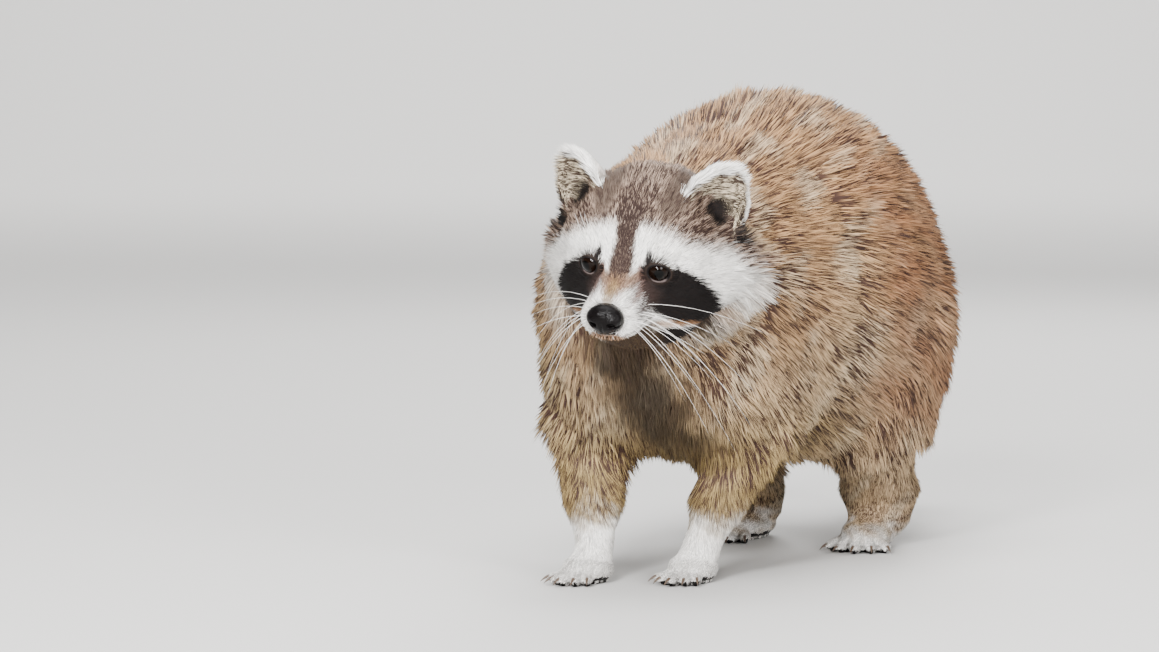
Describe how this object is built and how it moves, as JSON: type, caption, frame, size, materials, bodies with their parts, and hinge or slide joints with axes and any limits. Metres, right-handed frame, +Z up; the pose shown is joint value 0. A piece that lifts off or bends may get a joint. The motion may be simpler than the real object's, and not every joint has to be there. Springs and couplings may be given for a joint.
{
  "type": "standing raccoon figure",
  "caption": "Life-size standing raccoon as a still museum model, arched back, head lowered and turned, ringed bushy tail hanging behind.",
  "frame": {"origin": "on the floor, under the middle of the outline's bounding box", "axes": "-Y is where the animal faces, +X is its left side, +Z is up"},
  "size_m": [0.2394, 0.6514, 0.3325],
  "materials": {
    "back": "long soft fur, matte",
    "flank": "long soft fur, matte",
    "face": "short fur, matte",
    "white": "short pale fur, matte",
    "paw": "very short fur, matte",
    "ring_dark": "long dark fur, matte",
    "ring_pale": "long buff fur, matte",
    "leather": "moist bare skin, glossy",
    "eye": "wet and glossy"
  },
  "bodies": {
    "root": {"head": "face", "muzzle": "white", "lower_jaw": "white", "nose": "leather", "eye_left": "eye", "eye_right": "eye", "ear_left": "white", "ear_right": "white", "neck": "flank", "chest": "flank", "belly": "back", "rump": "back", "shoulder_left": "flank", "shoulder_right": "flank", "thigh_left": "flank", "thigh_right": "flank", "forearm_left": "flank", "forearm_right": "flank", "hand_left": "paw", "hand_right": "paw", "shank_left": "flank", "shank_right": "flank", "foot_left": "paw", "foot_right": "paw", "tail_1": "ring_pale", "tail_2": "ring_dark", "tail_3": "ring_pale", "tail_4": "ring_dark", "tail_5": "ring_dark"}
  },
  "joints": []
}
